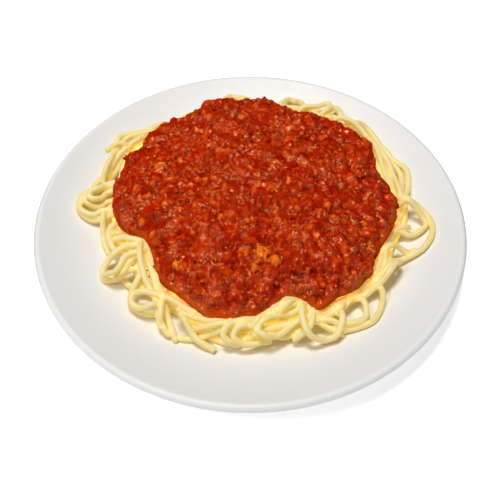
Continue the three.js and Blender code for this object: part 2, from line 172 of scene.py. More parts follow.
# Under them plain runs fill the heap's edge.
FILL_RUNS = [
    dict(count=16, inside=(1.0, 2.5), span=(36, 62)),
    dict(count=18, inside=(1.5, 5.0), span=(30, 58)),
    dict(count=22, inside=(3.0, 10.0), span=(26, 52)),
    dict(count=24, inside=(4.0, 18.0), span=(18, 44)),
]

# -------------------- sauce and mince

RIM_LIFT = 0.9  # the sauce's edge stands this much higher than in the solids, on the top noodles
# Where the sauce's edge runs in and out of that outline: azimuth, half width in degrees, shift.
EDGE_SHIFTS = [
    (0, 9, -1.8), (24, 14, -3.2), (50, 5, -1.8), (71, 8, -3.4), (95, 9, -6.8), (118, 10, -7.4),
    (150, 4, -7.0), (166, 8, -3.0), (182, 8, -1.0), (212, 5, 1.6), (231, 4, 1.6), (254, 4, 1.6),
    (263, 4, 1.7), (275, 5, 2.6), (296, 5, 4.4), (312, 6, 0.8), (322, 3, 1.8), (337, 7, -0.6),
]

SAUCE_GRID = 300  # quads along each side of the sauce's sheet
# Crumbs of mince: many small ones and ever fewer larger ones, by a power law that is cut off before
# its largest. They keep apart by a share of their sizes.
CUT_OFF = 0.97
CRUMBS = dict(count=3000, least=0.75, most=3.1, power=1.7, apart=0.62, tries=12)
ROUGH_FROM = 2.9  # lumps from this radius on are made rougher
# Loose crumbs lie on the inner part, except where the sauce stands deeper than deepest.
LOOSE_CRUMBS = dict(count=1100, least=0.45, most=2.0, power=2, large=0.9, deepest=0.45, inner=0.97)
# How deep sauce stands among the crumbs, and how far apart its wet stretches and its ripples lie.
POOL = dict(mean=0.46, spread=0.5, apart=13, ripple=0.14, ripples_apart=4.5)
# Wet stretches that can be told apart: x, y, half length, half width, depth.
POOLS = [
    (12, -25, 32, 6, 0.7), (-38, -16, 13, 6, 0.6), (34, -39, 15, 5, 0.7), (2, 20, 6, 18, 0.5),
    (30, -3, 20, 5, 0.6),
]
# Unevenness of the whole skin: height, wavelength, seed.
UNEVEN = [(0.07, 1.5, 41), (0.3, 6.0, 42), (0.7, 13.0, 44)]
# The skirt under the sauce's edge: steps inwards and down.
SKIRT = [(0.6, 1.2), (2.0, 2.6), (6.0, 3.4), (14.0, 3.6)]
# Lumps that can be told apart: x, y, radius, tint (0 olive, 0.3 to 0.6 red, 1 bright orange).
CHUNKS = [
    (-48, 20.5, 4.2, 1.0), (-38, 26, 2.0, 0.95), (-62, 34, 1.2, 0.03), (-24, 62, 3.0, 0.9),
    (-37, 60, 2.6, 0.8), (-22, 34, 2.5, 0.85), (-36, 31.5, 2.2, 0.85), (-6, 27, 1.8, 0.95),
    (-24, 12, 1.8, 1.0), (-14, 72, 2.6, 0.75), (-35, 17, 1.2, 0.03), (26, 55, 2.2, 0.8),
    (34, 49, 2.0, 0.8), (14, 38, 3.2, 0.8), (25, 33, 2.2, 0.9), (17, 22.5, 1.8, 0.85),
    (58, 17, 2.6, 0.75), (46, 37, 1.4, 0.03), (33, 40, 1.8, 0.0), (67, 5, 2.4, 0.8),
    (-44, -5.5, 2.6, 0.95), (-36, -41.5, 3.0, 1.0), (-28, -47, 2.0, 0.8), (-26, -43, 1.8, 0.0),
    (-24, -51, 1.8, 0.9), (-2, -35, 2.4, 0.85), (-15, -15, 2.0, 0.95), (6, -37.5, 5.2, 1.0),
    (12, -42, 3.2, 0.97), (37, -34, 1.6, 0.03), (31, -17, 1.6, 0.03), (24, -11, 2.6, 0.9),
    (61, -25, 1.6, 0.95), (42, -47, 2.0, 0.9),
]

# Specks of pepper and herb that can be told apart, on the sauce, on noodles and on the plate: x, y,
# half length. Many finer ones are strewn over the sauce.
SPECKS = [
    (-20, 24, 0.5), (15, -7, 0.8), (35, 0, 0.7), (-41, -16, 0.5), (34, -50, 0.8), (-53, -35, 0.8),
    (-51, -39, 0.8), (-60, -34, 0.5), (77, -5, 0.7), (-59, 76, 0.9),
]
FINE_SPECKS = dict(count=70, least=0.22, most=0.5, reach=66)
SAUCE_MARGIN = 3  # a speck lies on the sauce if it is this far inside the edge


# -------------------- helpers


def smoothstep(value, low, high):
    share = np.clip((value - low) / (high - low), 0.0, 1.0)
    return share * share * (3 - 2 * share)


def reach_at(reaches, azimuth):
    """A smooth closed outline through reaches at equal steps of azimuth."""
    values = np.asarray(reaches, float)
    n = len(values)
    place = np.mod(np.asarray(azimuth) / (2 * math.pi) * n, n)
    i = np.floor(place).astype(int)
    t = place - i
    a, b, c, d = (values[(i + k) % n] for k in (-1, 0, 1, 2))
    curve = (2 * a - 5 * b + 4 * c - d) * t**2 + (3 * b - a - 3 * c + d) * t**3
    return 0.5 * (2 * b + (c - a) * t + curve)


def sauce_edge(azimuth):
    """How far the sauce reaches from the nest's centre."""
    azimuth = np.asarray(azimuth, float)
    reach = reach_at(SAUCE_REACH, azimuth)
    for middle, half_width, shift in EDGE_SHIFTS:
        off = np.mod(np.degrees(azimuth) - middle + 180, 360) - 180
        reach = reach + shift * np.exp(-((off / half_width) ** 2))
    return reach


def polar(azimuth, distance):
    return FOOD + np.stack([distance * np.cos(azimuth), distance * np.sin(azimuth)], axis=-1)


def from_centre(x, y):
    return np.hypot(x - FOOD[0], y - FOOD[1]), np.arctan2(y - FOOD[1], x - FOOD[0])


def lengthwise(x, y, turn):
    """Offsets x and y measured along and across a line at that turn."""
    return x * math.cos(turn) + y * math.sin(turn), y * math.cos(turn) - x * math.sin(turn)


def turned(points, turn):
    """Points turned about a vertical axis."""
    cos, sin = math.cos(turn), math.sin(turn)
    return points @ np.array([[cos, sin, 0], [-sin, cos, 0], [0, 0, 1]])


def plate_top(x, y):
    r = np.hypot(x, y)
    share = np.clip((r - PLATE["well_radius"]) / (PLATE["rise_end"] - PLATE["well_radius"]), 0, None)
    rise = PLATE["rise_height"] - PLATE["well_height"]
    return PLATE["well_height"] + rise * share ** PLATE["rise_power"]


def mound(share):
    return CORE["height"] * (1 - np.minimum(1, share) ** CORE["shoulder"]) ** CORE["round"]


def core_top(x, y):
    """The top of the solid core, which carries the sauce."""
    distance, azimuth = from_centre(x, y)
    heap = mound(distance / (reach_at(NEST_REACH, azimuth) - CORE["inset"]))
    return plate_top(x, y) + np.maximum(heap, GAP + CORE["lip"])


def heap_top(x, y):
    distance, azimuth = from_centre(x, y)
    return plate_top(x, y) + mound(distance / reach_at(HEAP_REACH, azimuth))


def relief(x, y):
    height = np.zeros_like(x, dtype=float)
    for rise, along_x, along_y, phase in SWELLS:
        height += rise * np.sin(2 * math.pi * (x / along_x + y / along_y) + phase)
    for fold_x, fold_y, length, width, rise, turn in FOLDS:
        along, across = lengthwise(x - fold_x, y - fold_y, math.radians(turn))
        height += rise * np.exp(-((along / length) ** 2) - (across / width) ** 2)
    return height


def joined(parts):
    """One mesh of several, each given as points and faces."""
    faces = []
    start = 0
    for points, part_faces in parts:
        faces += [tuple(np.add(face, start)) for face in part_faces]
        start += len(points)
    return np.concatenate([points for points, _ in parts]), faces


def band(first, second, turned_over=False):
    """The quads between closed rings of point numbers, or between rows of them."""
    ahead, across = np.roll(first, -1, axis=-1), np.roll(second, -1, axis=-1)
    quads = [first, ahead, across, second] if turned_over else [first, second, across, ahead]
    return np.stack(quads, axis=-1).reshape(-1, 4).tolist()


def make_piece(name, points, faces, material, slot, node, attributes):
    """A smooth mesh piece from points in millimetres, riding on the part's one body. It replaces a
    node, or adds to the part where node is None."""
    mesh = bpy.data.meshes.new(name)
    mesh.from_pydata((np.asarray(points) * MM).tolist(), [], faces)
    mesh.shade_smooth()
    for key, values in attributes.items():
        layer = mesh.attributes.new(key, "FLOAT", "POINT")
        layer.data.foreach_set("value", np.asarray(values, np.float32))
    mesh.materials.append(material)
    mesh.update()
    piece = bpy.data.objects.new(name, mesh)
    bpy.context.scene.collection.objects.link(piece)
    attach(piece, "root")
    if node:
        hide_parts(node)


def new_material(name):
    material = bpy.data.materials.new(name)
    material.use_nodes = True
    tree = material.node_tree
    return material, tree, tree.nodes["Principled BSDF"]


def set_inputs(tree, node, inputs):
    """Sets constant inputs of a node, and links those that are given as other nodes' outputs."""
    for key, value in inputs.items():
        if isinstance(value, bpy.types.NodeSocket):
            tree.links.new(value, node.inputs[key])
        else:
            node.inputs[key].default_value = value


def add_node(tree, kind, inputs=None, **settings):
    node = tree.nodes.new(kind)
    for key, value in settings.items():
        setattr(node, key, value)
    set_inputs(tree, node, inputs or {})
    return node


def attribute(tree, name):
    return add_node(tree, "ShaderNodeAttribute", attribute_name=name).outputs["Fac"]


def object_place(tree):
    return add_node(tree, "ShaderNodeTexCoord").outputs["Object"]


def noise_texture(tree, size_mm, detail, distortion=0.0):
    """Noise with hills about size_mm across, in the object's own coordinates."""
    inputs = {"Vector": object_place(tree), "Scale": 1 / (size_mm * MM), "Detail": detail,
              "Distortion": distortion}
    return add_node(tree, "ShaderNodeTexNoise", inputs).outputs["Fac"]


def mapped(tree, value, low, high, to_low, to_high):
    inputs = {"Value": value, "From Min": low, "From Max": high, "To Min": to_low, "To Max": to_high}
    return add_node(tree, "ShaderNodeMapRange", inputs).outputs["Result"]


def patches(tree, size_mm, detail, low, high, to_low, to_high):
    return mapped(tree, noise_texture(tree, size_mm, detail), low, high, to_low, to_high)


def mixed(tree, factor, first, second):
    colours = [c if isinstance(c, bpy.types.NodeSocket) else (*c, 1.0) for c in (first, second)]
    inputs = {0: factor, 6: colours[0], 7: colours[1]}
    return add_node(tree, "ShaderNodeMix", inputs, data_type="RGBA").outputs[2]


def combined(tree, operation, first, second):
    return add_node(tree, "ShaderNodeMath", {0: first, 1: second}, operation=operation).outputs[0]


def times(tree, first, second):
    return combined(tree, "MULTIPLY", first, second)


def bump(tree, shader, height, distance_mm, strength):
    inputs = {"Height": height, "Distance": distance_mm * MM, "Strength": strength}
    normal = add_node(tree, "ShaderNodeBump", inputs).outputs["Normal"]
    set_inputs(tree, shader, {"Normal": normal})


# -------------------- square fields seen from above

CELL = 0.4
HALF = 114
COUNT = int(round(2 * HALF / CELL)) + 1
AXIS = np.arange(COUNT) * CELL - HALF
FIELD_X, FIELD_Y = np.meshgrid(AXIS, AXIS)
WAVES_Y = np.fft.fftfreq(COUNT, CELL)[:, None]  # waves per millimetre, of a field's Fourier terms
WAVES_X = np.fft.rfftfreq(COUNT, CELL)[None, :]


def hills(wavelength, seed):
    """An even random field with mean 0 and spread 1, whose hills are about a wavelength apart."""
    white = np.random.default_rng(seed).standard_normal((COUNT, COUNT))
    pitch = np.hypot(WAVES_X, WAVES_Y) * wavelength
    field = np.fft.irfft2(np.fft.rfft2(white) * pitch**2 * np.exp(-(pitch**2)), s=(COUNT, COUNT))
    return field / field.std()


def blurred(field, spread):
    keep = np.exp(-2 * (math.pi * spread) ** 2 * (WAVES_X**2 + WAVES_Y**2))
    return np.fft.irfft2(np.fft.rfft2(field) * keep, s=(COUNT, COUNT))


def sampled(field, x, y):
    """Values of a field at places, by straight lines between its cells."""
    px = np.clip((np.asarray(x) + HALF) / CELL, 0, COUNT - 1.001)
    py = np.clip((np.asarray(y) + HALF) / CELL, 0, COUNT - 1.001)
    i, j = px.astype(int), py.astype(int)
    u, v = px - i, py - j
    top = field[j, i] * (1 - u) + field[j, i + 1] * u
    bottom = field[j + 1, i] * (1 - u) + field[j + 1, i + 1] * u
    return top * (1 - v) + bottom * v


# -------------------- plate


def plate_piece(heap_height, material):
    """The plate, turned about its axis."""
    segments = 256
    axis = 0.01  # the ends of the profile stop this short of the axis
    lip = PLATE["lip_radius"]
    centre = (PLATE["radius"] - lip, PLATE["height"] - lip)
    outer, inner = PLATE["foot_outer"], PLATE["foot_inner"]
    # Distances from the axis and heights, from the underside's middle outwards and back over the top.
    profile = [(axis, PLATE["recess"]), (inner - 2.2, PLATE["recess"]), (inner - 1.2, 1.4)]
    profile += [(inner - 0.3, 0.35), (inner, 0.0), (outer, 0.0), (outer + 0.5, 0.3), (outer + 0.9, 1.0)]
    for r in np.linspace(outer + 2.4, PLATE["rise_end"], 24):
        profile.append((r, plate_top(r, 0) - PLATE["wall"]))
    for angle in np.radians(np.linspace(-70, 120, 20)):
        profile.append((centre[0] + lip * math.cos(angle), centre[1] + lip * math.sin(angle)))
    for r in np.linspace(PLATE["rise_end"], 38, 50)[1:]:
        profile.append((r, plate_top(r, 0)))
    profile.append((axis, PLATE["well_height"]))
    turn = np.arange(segments) * 2 * math.pi / segments
    rings = np.array(profile)
    x = rings[:, :1] * np.cos(turn)
    y = rings[:, :1] * np.sin(turn)
    z = np.repeat(rings[:, 1:], segments, axis=1)
    points = np.stack([x, y, z], axis=-1).reshape(-1, 3)
    net = np.arange(len(points)).reshape(-1, segments)
    faces = band(net[:-1], net[1:], True) + [net[0, ::-1].tolist(), net[-1].tolist()]
    x, y, z = points.T
    # Painted warm light on the plate's top, under and round the noodles, against their shadows.
    covered = blurred((heap_height > plate_top(FIELD_X, FIELD_Y) + 0.5).astype(float), 3.0)
    shoulder, spread = 42, 15  # where the painted dark rim line lies on the lip, in degrees above its middle
    angle = np.degrees(np.arctan2(z - centre[1], np.hypot(x, y) - centre[0]))
    painted_rim_shade = np.exp(-(((angle - shoulder) / spread) ** 2)) * (np.hypot(x, y) > centre[0])
    attributes = {
        "painted_bounce_light": sampled(covered, x, y) * (z > PLATE["well_height"] - 0.1),
        # a painted dark line for the rim's reflection, fading out towards the near side
        "painted_rim_shade": painted_rim_shade * smoothstep(y, -70, 30),
    }
    make_piece("white_plate", points, faces, material, "plate", "plate", attributes)


def glaze_material():
    material, tree, shader = new_material("white_glaze")
    cloudy = noise_texture(tree, 60, 2)
    colour = mixed(tree, cloudy, (0.735, 0.735, 0.73), (0.72, 0.718, 0.71))
    # Painted warm light brightens the plate round the nest, against the noodles' shadows, and a painted
    # dark line along the lip's shoulder stands in for a dark reflection of the surroundings.
    painted_bounce_light = mapped(tree, attribute(tree, "painted_bounce_light"), 0.03, 0.5, 0.0, 0.7)
    colour = mixed(tree, painted_bounce_light, colour, (0.80, 0.75, 0.62))
    colour = mixed(tree, attribute(tree, "painted_rim_shade"), colour, (0.30, 0.30, 0.30))
    # The foot ring is wiped bare before firing.
    height = add_node(tree, "ShaderNodeSeparateXYZ", {"Vector": object_place(tree)}).outputs["Z"]
    bare = mapped(tree, height, 0.4 * MM, 0.1 * MM, 0.0, 1.0)
    colour = mixed(tree, bare, colour, (0.62, 0.56, 0.48))
    rough = patches(tree, 9, 4, 0.3, 0.7, 0.40, 0.48)
    set_inputs(tree, shader, {"Base Color": colour, "Roughness": rough, "IOR": 1.38})
    bump(tree, shader, noise_texture(tree, 20, 1), 0.1, 0.03)
    return material


# -------------------- nest


def through(places):
    """A smooth line in plan through places, at about every millimetre."""
    steps = 24  # points between two places, before they are spread evenly
    corners = np.asarray(places, float)
    before = 2 * corners[0] - corners[1]
    after = 2 * corners[-1] - corners[-2]
    run = np.vstack([before, corners, after])
    knots = np.concatenate([[0], np.cumsum(np.sqrt(np.linalg.norm(np.diff(run, axis=0), axis=1)))])
    pieces = []
    for k in range(1, len(run) - 2):
        t = np.linspace(knots[k], knots[k + 1], steps, endpoint=False)[:, None]
        near = [run[m] + (run[m + 1] - run[m]) * (t - knots[m]) / (knots[m + 1] - knots[m])
                for m in (k - 1, k, k + 1)]
        wide = [near[m] + (near[m + 1] - near[m]) * (t - knots[k - 1 + m])
                / (knots[k + 1 + m] - knots[k - 1 + m]) for m in (0, 1)]
        pieces.append(wide[0] + (wide[1] - wide[0]) * (t - knots[k]) / (knots[k + 1] - knots[k]))
    return evenly(np.vstack([*pieces, corners[-1:]]), 1.0)


def tucked(plan):
    """The same line, its end led on in a bend under the sauce, or a little way anywhere else."""
    place = plan[-1]
    heading = (place - plan[-5]) / np.linalg.norm(place - plan[-5])
    inward = np.dot(heading, FOOD - place) > TUCK["inward"] * np.linalg.norm(FOOD - place)
    to_sauce = inward and beside_sauce(place[None])[0] < TUCK["near"]
    added = []
    for _ in range(TUCK["most"] if to_sauce else TUCK["elsewhere"]):
        home = FOOD - place
        heading = heading + TUCK["turn"] * home / np.linalg.norm(home)
        heading /= np.linalg.norm(heading)
        place = place + heading
        added.append(place)
        if beside_sauce(place[None])[0] < -TUCK["deep"]:
            break
    return np.vstack([plan, *added])


def evenly(curve, step):
    """The same line with points at equal steps along it."""
    lengths = np.linalg.norm(np.diff(curve, axis=0), axis=1)
    along = np.concatenate([[0], np.cumsum(lengths)])
    marks = np.linspace(0, along[-1], max(4, int(round(along[-1] / step)) + 1))
    return np.stack([np.interp(marks, along, curve[:, k]) for k in range(curve.shape[1])], axis=-1)


def windowed(values, reach, how):
    """The mean or maximum over the neighbours of each value along a line."""
    padded = np.pad(values, reach, mode="edge")
    stacked = np.stack([padded[k:k + len(values)] for k in range(2 * reach + 1)])
    return how(stacked, axis=0)


class Heap:
    """The height of all that lies on the plate so far, which each new noodle comes to rest on."""

    def __init__(self, drop):
        bare = plate_top(FIELD_X, FIELD_Y)
        self.height = np.maximum(heap_top(FIELD_X, FIELD_Y) - drop, bare)
        radius = NOODLE["radius"]
        reach = int(radius / CELL)
        across, up = np.meshgrid(np.arange(-reach, reach + 1), np.arange(-reach, reach + 1))
        off = np.hypot(across, up) * CELL
        keep = off < radius
        self.across, self.up = across[keep], up[keep]
        self.bulge = np.sqrt(radius**2 - off[keep] ** 2)

    def lay(self, plan, highest, hidden_end=True):
        """Lays one noodle, no higher than a limit at each place, and returns its centre line. Its
        start dives under what comes later, and so does a hidden end."""
        i = np.round((plan[:, 0] + HALF) / CELL).astype(int)[:, None] + self.across
        j = np.round((plan[:, 1] + HALF) / CELL).astype(int)[:, None] + self.up
        on_plate = plate_rest(plan)
        rest = np.maximum((self.height[j, i] + self.bulge).max(axis=1) - REST["sink"], on_plate)
        rest = windowed(windowed(rest, REST["bridge"], np.max), REST["ease"], np.mean)
        height = windowed(np.minimum(rest, highest), REST["settle"], np.mean)
        along = np.arange(len(plan))
        for from_end in [along, along[::-1]] if hidden_end else [along]:
            height -= TUCK["dive"] * (1 - smoothstep(from_end, 0, TUCK["dive_run"]))
        height = np.maximum(on_plate, height)
        np.maximum.at(self.height, (j, i), height[:, None] + self.bulge)
        return np.column_stack([plan, height])


def plate_rest(plan):
    """The height of a noodle's centre where it lies on the bare plate."""
    r = np.hypot(plan[:, 0], plan[:, 1])
    slope = np.arctan(plate_top(r + 0.5, 0) - plate_top(r - 0.5, 0))
    return plate_top(r, 0) + NOODLE["radius"] / np.cos(slope) + 0.05


def beside_sauce(plan):
    """How far places lie outside the sauce's edge, negative under it."""
    turn = np.radians(np.arange(0, 360, 2))
    edge = polar(turn, sauce_edge(turn))
    nearest = np.linalg.norm(plan[:, None, :] - edge[None, :, :], axis=2).min(axis=1)
    distance, azimuth = from_centre(plan[:, 0], plan[:, 1])
    return np.where(distance < sauce_edge(azimuth), -nearest, nearest)


def fill_run(rng, layer, item):
    """A plain run beside the nest's edge, whose ends lie under the sauce."""
    inside = rng.uniform(*layer["inside"])
    start = 360 / layer["count"] * (item + rng.uniform(-0.5, 0.5))
    span = rng.uniform(*layer["span"])
    t = np.linspace(0, 1, 60)
    azimuth = np.radians(start + span * t)
    sway = rng.uniform(0.5, 2.5) * np.sin(2 * math.pi * (t * rng.uniform(0.7, 1.8) + rng.uniform()))
    most = reach_at(HEAP_REACH, azimuth)
    outer = np.minimum(most - inside + sway, most - 0.5)
    inner = sauce_edge(azimuth) - rng.uniform(4, 8)
    lean = np.sin(math.pi * t) ** rng.uniform(0.4, 0.8)
    return evenly(polar(azimuth, inner + (np.maximum(outer, inner) - inner) * lean), 1.0)


def tube(line, seed):
    """Points and faces of one noodle, a little uneven in thickness, closed at both ends."""
    sides, thick = NOODLE["sides"], NOODLE["radius"]
    line = evenly(line, NOODLE["step"])
    heading = np.gradient(line, axis=0)
    heading /= np.linalg.norm(heading, axis=1)[:, None]
    side = np.column_stack([heading[:, 1], -heading[:, 0], np.zeros(len(line))])
    side /= np.linalg.norm(side, axis=1)[:, None]
    up = np.cross(side, heading)
    rng = np.random.default_rng(seed)
    marks = np.arange(len(line)) * NOODLE["step"]
    radius = thick * (1 + 0.025 * np.sin(marks / 7 + rng.uniform(0, 6))
                      + 0.018 * np.sin(marks / 2.9 + rng.uniform(0, 6)))
    radius *= rng.uniform(0.95, 1.05)
    turn = np.arange(sides) * 2 * math.pi / sides
    rings = (line[:, None, :] + radius[:, None, None] * (
        np.cos(turn)[None, :, None] * side[:, None, :] + np.sin(turn)[None, :, None] * up[:, None, :]))
    net = np.arange(len(line) * sides).reshape(-1, sides)
    faces = band(net[:-1], net[1:]) + [net[0].tolist(), net[-1, ::-1].tolist()]
    return rings.reshape(-1, 3), faces


def nest_lines():
    """The centre lines of all noodles, from the bottom up, and the height of the heap they make."""
    lines = []
    rng = np.random.default_rng(7)
    below = Heap(CORE_DROP)
    for layer in FILL_RUNS:
        for item in range(layer["count"]):
            plan = fill_run(rng, layer, item)
            lines.append(below.lay(plan, heap_top(plan[:, 0], plan[:, 1]) - REST["plain_below"]))
    heap = Heap(PLACED_DROP)

    def lay(plan, hidden_end):
        # Close to the sauce a noodle stays low enough to pass under it.
        room = np.maximum(0, beside_sauce(plan))
        highest = heap_top(plan[:, 0], plan[:, 1]) + REST["above"] + REST["rise"] * room
        lines.append(heap.lay(plan, highest, hidden_end))

    for places in LOOPS:
        lay(tucked(tucked(through(places))[::-1])[::-1], True)
    for places in LOOSE_ENDS:
        lay(tucked(through(places)[::-1])[::-1], False)
    return lines, heap.height


def noodle_piece(lines, material):
    rng = np.random.default_rng(11)
    parts = [tube(line, number) for number, line in enumerate(lines)]
    tint = np.concatenate([np.full(len(points), rng.uniform()) for points, _ in parts])
    stain = [1 - smoothstep(beside_sauce(points[:, :2]), 0.0, 3.0) for points, _ in parts]
    attributes = {"tint": tint, "stain": np.concatenate(stain)}
    make_piece("noodles", *joined(parts), material, "spaghetti", "spaghetti", attributes)


def closed_mound(upper, lower, rings, segments):
    """Points and faces of a closed mound. Each ring tells its distance from an azimuth."""
    turn = np.arange(segments) * 2 * math.pi / segments
    points, faces = [], []
    for surface in (upper, lower):
        for ring in rings:
            plan = polar(turn, ring(turn))
            points.append(np.column_stack([plan, surface(plan[:, 0], plan[:, 1])]))
    n = len(rings)
    net = np.arange(2 * n * segments).reshape(-1, segments)
    for row in range(n - 1):
        faces += band(net[row], net[row + 1]) + band(net[n + row], net[n + row + 1], True)
    faces += band(net[n - 1], net[-1]) + [net[0].tolist(), net[n, ::-1].tolist()]
    return np.concatenate(points), faces


def core_piece(material):
    """The hidden middle of the nest, under the noodles and the sauce."""
    inset = 2.5
    shares = np.concatenate([[0.02], np.linspace(0.3, 0.8, 6), np.linspace(0.84, 1, 14)])
    rings = [lambda turn, s=s: s * (reach_at(HEAP_REACH, turn) - inset) for s in shares]
    upper = lambda x, y: np.maximum(heap_top(x, y) - CORE_DROP, plate_top(x, y) + 0.3)
    lower = lambda x, y: plate_top(x, y) + 0.15
    points, faces = closed_mound(upper, lower, rings, 180)
    attributes = {"tint": np.full(len(points), 0.5), "stain": np.zeros(len(points))}
    make_piece("nest_core", points, faces, material, "spaghetti", "spaghetti", attributes)


def pasta_material():
    material, tree, shader = new_material("cooked_pasta")
    colour = mixed(tree, attribute(tree, "tint"), (0.52, 0.505, 0.285), (0.49, 0.46, 0.23))
    patchy = patches(tree, 5, 3, 0.35, 0.7, 0.0, 1.0)
    colour = mixed(tree, times(tree, patchy, 0.35), colour, (0.57, 0.57, 0.385))
    # Oil and tomato from the sauce stain the noodles next to it.
    stain = attribute(tree, "stain")
    wet = times(tree, stain, patches(tree, 4, 3, 0.4, 0.65, 0.1, 0.4))
    colour = mixed(tree, wet, colour, (0.52, 0.30, 0.07))
    shader.subsurface_method = "BURLEY"
    set_inputs(tree, shader, {
        "Base Color": colour,
        "Roughness": patches(tree, 2.5, 3, 0.3, 0.7, 0.45, 0.6),
        "Subsurface Weight": 0.8,
        "Subsurface Radius": (1.0, 0.8, 0.35),
        "Subsurface Scale": 3.0 * MM,
        "IOR": 1.42,
        # Light that has come through the neighbouring noodles.
        "Emission Color": (1.0, 0.58, 0.07, 1.0),
        "Emission Strength": 0.29,
    })
    bump(tree, shader, noise_texture(tree, 1.4, 4), 0.15, 0.25)
    return material


# -------------------- sauce


def sauce_base(x, y):
    distance, azimuth = from_centre(x, y)
    reach = sauce_edge(azimuth)
    share = np.minimum(1, distance / reach)
    edge = polar(azimuth, reach)
    low = core_top(edge[..., 0], edge[..., 1]) + GAP + RIM_LIFT
    dome = (1 - share ** SAUCE["shoulder"]) ** SAUCE["round"]
    return low + (SAUCE["top"] - low) * dome + relief(x, y) * smoothstep(1 - share, 0, 0.25)


class Sheet:
    """The sauce's smooth upper surface, laid out flat: places on it are given by lengths along it
    from its middle, so that lumps keep their shape on its steep edge."""

    def __init__(self):
        typical, rise = 76.0, 17.0  # the reach and height of a typical cut through the sauce
        share = 1 - np.linspace(1, 0, 4000) ** 2.2  # closer together where the surface is steep
        dome = rise * (1 - share ** SAUCE["shoulder"]) ** SAUCE["round"]
        steps = np.hypot(np.diff(share * typical), np.diff(dome))
        self.along = np.concatenate([[0], np.cumsum(steps)])
        self.stretch = self.along[-1] / typical
        self.along /= self.along[-1]
        self.share = share

    def place(self, u, v):
        """The point of the smooth surface at lengths u and v along it."""
        azimuth = np.arctan2(v, u)
        reach = sauce_edge(azimuth)
        t = np.minimum(1, np.hypot(u, v) / (reach * self.stretch))
        plan = polar(azimuth, np.interp(t, self.along, self.share) * reach)
        x, y = plan[..., 0], plan[..., 1]
        return np.stack([x, y, sauce_base(x, y)], axis=-1)

    def normal(self, u, v):
        step = 0.4
        shrink = 1 - 2 * step / np.maximum(np.hypot(u, v), 3)
        u, v = u * np.minimum(1, shrink), v * np.minimum(1, shrink)
        along_u = self.place(u + step, v) - self.place(u - step, v)
        along_v = self.place(u, v + step) - self.place(u, v - step)
        n = np.cross(along_u, along_v)
        return n / np.maximum(np.linalg.norm(n, axis=-1, keepdims=True), 1e-9)

    def flat(self, x, y):
        """The lengths u and v of the point over (x, y)."""
        distance, azimuth = from_centre(x, y)
        reach = sauce_edge(azimuth)
        t = np.interp(distance / reach, self.share, self.along)
        length = t * reach * self.stretch
        return length * np.cos(azimuth), length * np.sin(azimuth)

    def strewn(self, rng, share=1):
        """Lengths u and v of a random place, evenly over a share of the sheet round its middle."""
        azimuth = rng.uniform(0, 2 * math.pi)
        length = sauce_edge(azimuth) * self.stretch * math.sqrt(rng.uniform(0, share))
        return length * math.cos(azimuth), length * math.sin(azimuth)


def crumb_sizes(rng, kind, count=None):
    return kind["least"] * (1 - rng.uniform(0, CUT_OFF, count)) ** (-1 / kind["power"])


def crumb_list(sheet):
    """Crumbs of mince in the sauce's skin: u, v, half length, half width, turn, height, tint."""
    rng = np.random.default_rng(21)
    sizes = np.sort(crumb_sizes(rng, CRUMBS, CRUMBS["count"]))[::-1]
    crumbs = []
    for x, y, radius, tint in CHUNKS:
        u, v = sheet.flat(np.array([x]), np.array([y]))
        crumbs.append((u[0], v[0], radius, radius * 0.85, rng.uniform(0, math.pi), radius * 0.9, tint))
    centres = np.array([crumb[:3] for crumb in crumbs])
    zones = hills(14, 43)  # where it is high, crumbs are duller
    for size in np.minimum(sizes, CRUMBS["most"]):
        for _ in range(CRUMBS["tries"]):
            u, v = sheet.strewn(rng)
            away = np.hypot(centres[:, 0] - u, centres[:, 1] - v)
            if (away >= CRUMBS["apart"] * (centres[:, 2] + size)).all():
                break
        else:
            continue
        narrow = size * rng.uniform(0.5, 1.0)
        dull = 1.9 * math.exp(0.7 * sampled(zones, u, v))
        crumbs.append((u, v, size, narrow, rng.uniform(0, math.pi), narrow * rng.uniform(0.5, 1.1),
                       0.05 + 0.95 * rng.uniform() ** dull))
        centres = np.vstack([centres, [u, v, size]])
    return crumbs


def pool_field():
    """The height of the sauce among the crumbs, above the smooth sheet laid out flat."""
    depth = POOL["mean"] + POOL["spread"] * hills(POOL["apart"], 33)
    depth += POOL["ripple"] * hills(POOL["ripples_apart"], 34)
    for x, y, length, width, deeper in POOLS:
        along = (FIELD_X + FOOD[0] - x) / length
        across = (FIELD_Y + FOOD[1] - y) / width
        depth += deeper * np.exp(-(along**2) - across**2)
    return depth


def crumb_fields(crumbs, pool):
    """The skin's height, the crumbs' share of cover and their tint, over the sauce laid out flat."""
    height = np.zeros((COUNT, COUNT))
    tint = np.full((COUNT, COUNT), 0.5)
    ragged = hills(2.4, 31) + 0.5 * hills(1.2, 32)
    for u, v, size, narrow, turn, rise, shade in crumbs:
        reach = int(size * 1.5 / CELL) + 2
        i, j = int(round((u + HALF) / CELL)), int(round((v + HALF) / CELL))
        window = np.s_[max(0, j - reach):j + reach + 1, max(0, i - reach):i + reach + 1]
        along, across = lengthwise(FIELD_X[window] - u, FIELD_Y[window] - v, turn)
        off = np.hypot(along / size, across / narrow) + 0.2 * ragged[window]
        rough = 1 + (0.2 if size < ROUGH_FROM else 0.3) * ragged[window]
        top = rise * np.sqrt(np.clip(1 - off**3, 0, None)) * rough
        higher = top > height[window]
        height[window] = np.where(higher, top, height[window])
        tint[window] = np.where(higher, shade, tint[window])
    bare = height - pool
    skin = np.where(bare > 0, height, pool)
    return blurred(skin, 0.3) - POOL["mean"], blurred(np.clip(bare * 1.6, 0, 1), 0.4), tint


